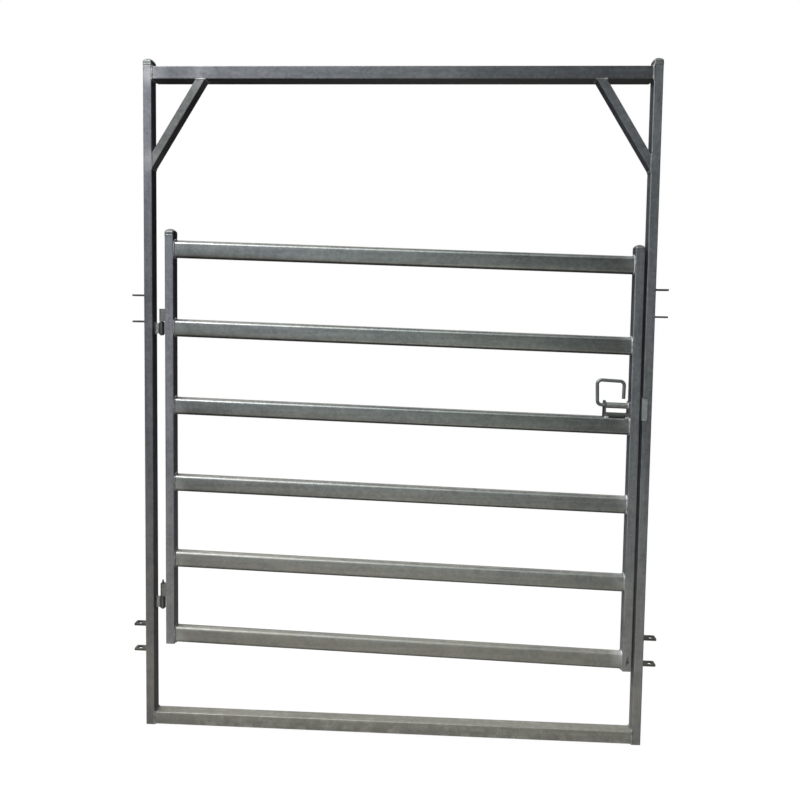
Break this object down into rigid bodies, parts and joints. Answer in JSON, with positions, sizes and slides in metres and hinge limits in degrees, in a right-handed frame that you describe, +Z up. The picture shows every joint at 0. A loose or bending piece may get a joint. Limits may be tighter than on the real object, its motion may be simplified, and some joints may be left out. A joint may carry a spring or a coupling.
{
  "type": "cattle yard gate in frame",
  "caption": "Galvanised steel yard gate with oval rails, hung on pintles in a braced post frame, with a loop-handled slide bolt and pin lugs.",
  "frame": {"origin": "middle of the hinge post's foot face", "axes": "+X along the sill to the latch post, +Z up, front at -Y"},
  "size_m": [2.3845, 0.0958, 3.041],
  "materials": {
    "frame_steel": "hot-dip galvanised, weathered",
    "leaf_steel": "hot-dip galvanised, weathered",
    "cap_steel": "pressed and galvanised",
    "lug_steel": "galvanised flat bar",
    "hinge_steel": "galvanised, worn",
    "latch_steel": "galvanised flat bar and tube",
    "bolt_steel": "dark round bar, rubbed"
  },
  "bodies": {
    "frame": {"hinge_post": "frame_steel", "latch_post": "frame_steel", "top_rail": "frame_steel", "sill_rail": "frame_steel", "hinge_side_brace": "frame_steel", "latch_side_brace": "frame_steel", "hinge_post_cap": "cap_steel", "latch_post_cap": "cap_steel", "upper_pintle": "hinge_steel", "lower_pintle": "hinge_steel", "upper_pintle_web": "hinge_steel", "lower_pintle_web": "hinge_steel", "latch_keeper": "latch_steel", "left_upper_lug_top": "lug_steel", "left_upper_lug_bottom": "lug_steel", "left_lower_lug_top": "lug_steel", "left_lower_lug_bottom": "lug_steel", "right_upper_lug_top": "lug_steel", "right_upper_lug_bottom": "lug_steel", "right_lower_lug_top": "lug_steel", "right_lower_lug_bottom": "lug_steel"},
    "leaf": {"hinge_stile": "leaf_steel", "latch_stile": "leaf_steel", "gate_rail_1": "leaf_steel", "gate_rail_2": "leaf_steel", "gate_rail_3": "leaf_steel", "gate_rail_4": "leaf_steel", "gate_rail_5": "leaf_steel", "gate_rail_6": "leaf_steel", "hinge_stile_cap": "cap_steel", "latch_stile_cap": "cap_steel", "upper_hinge_eye": "hinge_steel", "lower_hinge_eye": "hinge_steel", "bolt_bracket": "latch_steel", "bolt_guide_tube": "latch_steel"},
    "bolt": {"slide_bolt": "bolt_steel"}
  },
  "joints": [
    {"name": "gate_swing", "type": "hinge", "parent": "frame", "child": "leaf", "pos_m": [0.052, 0, 0.603], "axis": [0, 0, 1], "range_deg": [-90, 90]},
    {"name": "bolt_slide", "type": "slide", "parent": "leaf", "child": "bolt", "axis": [-0.9997, 0, 0.0235], "range_m": [0, 0.058]}
  ]
}
